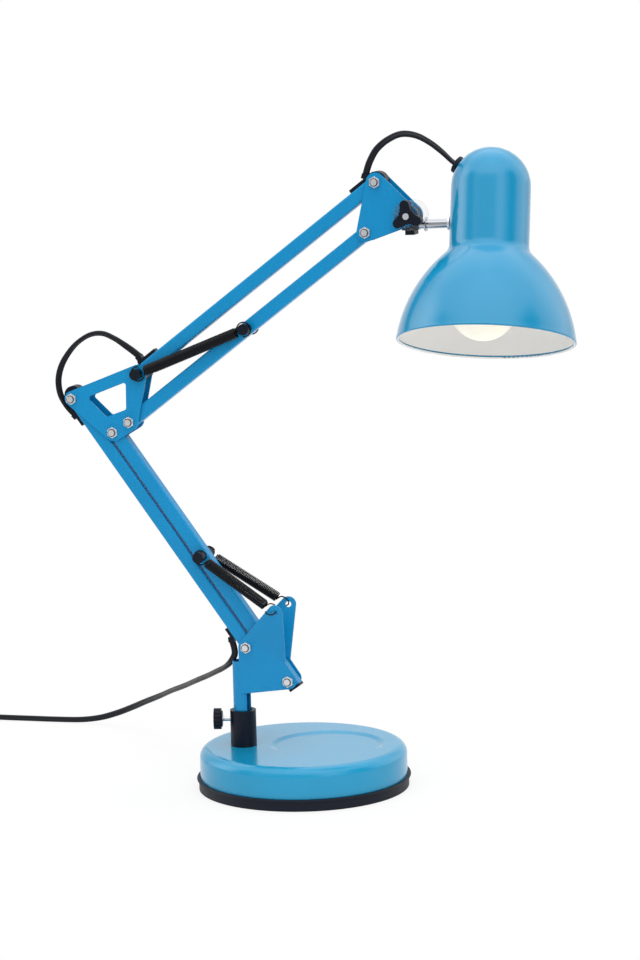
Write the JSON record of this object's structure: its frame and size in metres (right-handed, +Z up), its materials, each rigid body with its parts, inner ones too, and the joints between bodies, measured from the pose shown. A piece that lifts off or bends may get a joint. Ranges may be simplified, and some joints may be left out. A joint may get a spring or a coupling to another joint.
{
  "type": "balanced-arm desk lamp",
  "caption": "Spring-balanced desk lamp with a weighted round base, swivel post, parallel-link lower and upper arms and a tilting bell shade.",
  "frame": {"origin": "centre of the underside of the base", "axes": "+Z up, +X from the post towards the head along the plane of the arms, +Y across the arms"},
  "size_m": [0.7315, 0.2889, 0.5278],
  "materials": {
    "blue_paint": "gloss blue paint",
    "black_plastic": "black moulded plastic",
    "black_rubber": "black rubber",
    "black_cord": "black flat twin cord",
    "spring_wire": "blackened spring wire",
    "zinc": "bright zinc",
    "chrome": "chrome",
    "cast_weight": "bare cast iron",
    "bulb_glass": "opal glass",
    "clear_plastic": "clear plastic",
    "cap_metal": "screw cap"
  },
  "bodies": {
    "base": {"base_shell": "blue_paint", "base_weight": "cast_weight", "rubber_foot": "black_rubber", "collar": "black_plastic", "collar_screw": "zinc", "mains_cord": "black_cord", "mains_coil": "black_cord", "coil_tie": "black_rubber", "mains_plug": "black_plastic"},
    "thumbscrew": {"thumb_stud": "zinc", "thumb_knob": "black_plastic"},
    "bracket": {"bracket": "blue_paint", "bracket_bolts": "zinc", "bracket_nuts": "zinc", "lower_near_spring": "spring_wire", "lower_far_spring": "spring_wire"},
    "lower_front": {"lower_front_bar": "blue_paint", "lower_cord_guides": "black_plastic", "lower_cord_run": "black_cord"},
    "lower_rear": {"lower_rear_bar": "blue_paint", "lower_end_plugs": "black_plastic", "lower_spring_pin": "zinc", "lower_pin_caps": "black_plastic"},
    "elbow": {"elbow_near_plate": "blue_paint", "elbow_far_plate": "blue_paint", "elbow_bolts": "zinc", "elbow_nuts": "zinc", "elbow_spring_pin": "zinc", "elbow_pin_caps": "black_plastic", "elbow_cord": "black_cord", "upper_near_spring": "spring_wire", "upper_far_spring": "spring_wire"},
    "upper_top": {"upper_top_bar": "blue_paint", "upper_cord_guides": "black_plastic", "upper_cord_run": "black_cord"},
    "upper_bottom": {"upper_bottom_bar": "blue_paint", "upper_end_plugs": "black_plastic", "upper_spring_pin": "zinc", "upper_pin_caps": "black_plastic"},
    "head": {"head_near_plate": "blue_paint", "head_far_plate": "blue_paint", "head_bolts": "zinc", "head_nuts": "zinc", "head_washers": "clear_plastic", "head_cord": "black_cord"},
    "wing_knob": {"wing_knob": "black_plastic", "wing_bolt": "zinc"},
    "swivel": {"swivel_block": "black_plastic"},
    "shade": {"shade": "blue_paint", "stub": "chrome", "stub_nuts": "zinc", "cord_grommet": "black_rubber", "holder_bracket": "zinc", "lamp_holder": "black_plastic", "bulb_cap": "cap_metal", "bulb": "bulb_glass"}
  },
  "joints": [
    {"name": "post_swivel", "type": "hinge", "parent": "base", "child": "bracket", "pos_m": [-0.04677, -0.01166, 0.04], "axis": [0, 0, 1], "range_deg": [-160, 160], "deforming": ["mains_cord"]},
    {"name": "thumbscrew_turn", "type": "hinge", "parent": "base", "child": "thumbscrew", "pos_m": [-0.04677, -0.01166, 0.056], "axis": [-0.9703, -0.2419, 0], "range_deg": [-270, 0]},
    {"name": "lower_arm", "type": "hinge", "parent": "bracket", "child": "lower_front", "pos_m": [-0.03977, -0.01166, 0.1165], "axis": [0, 1, 0], "range_deg": [0, 60], "deforming": ["lower_near_spring", "lower_far_spring"]},
    {"name": "lower_rear_follow", "type": "hinge", "parent": "bracket", "child": "lower_rear", "pos_m": [-0.00527, -0.01166, 0.08984], "axis": [0, 1, 0], "range_deg": [0, 60]},
    {"name": "elbow_level", "type": "hinge", "parent": "lower_front", "child": "elbow", "pos_m": [-0.18204, -0.01166, 0.31596], "axis": [0, 1, 0], "range_deg": [-60, 0], "deforming": ["elbow_cord"]},
    {"name": "upper_arm", "type": "hinge", "parent": "elbow", "child": "upper_top", "pos_m": [-0.12494, -0.01166, 0.33686], "axis": [0, 1, 0], "range_deg": [-20, 75], "deforming": ["upper_near_spring", "upper_far_spring"]},
    {"name": "upper_bottom_follow", "type": "hinge", "parent": "elbow", "child": "upper_bottom", "pos_m": [-0.13346, -0.01166, 0.29778], "axis": [0, 1, 0], "range_deg": [-20, 75]},
    {"name": "head_level", "type": "hinge", "parent": "upper_top", "child": "head", "pos_m": [0.07539, -0.01166, 0.48891], "axis": [0, 1, 0], "range_deg": [-75, 20]},
    {"name": "head_tilt", "type": "hinge", "parent": "head", "child": "swivel", "pos_m": [0.10179, -0.01166, 0.46271], "axis": [0, 1, 0], "range_deg": [-50, 40], "deforming": ["head_cord"]},
    {"name": "shade_roll", "type": "hinge", "parent": "swivel", "child": "shade", "pos_m": [0.12197, -0.01166, 0.45594], "axis": [0.9997, 0, 0.0262], "range_deg": [-70, 105]},
    {"name": "knob_turn", "type": "hinge", "parent": "head", "child": "wing_knob", "pos_m": [0.10179, -0.01166, 0.46271], "axis": [0, -1, 0], "range_deg": [-270, 0]}
  ],
  "couplings": [
    {"joint": "lower_rear_follow", "follows": "lower_arm", "ratio": 1},
    {"joint": "elbow_level", "follows": "lower_arm", "ratio": -1},
    {"joint": "upper_bottom_follow", "follows": "upper_arm", "ratio": 1},
    {"joint": "head_level", "follows": "upper_arm", "ratio": -1}
  ]
}
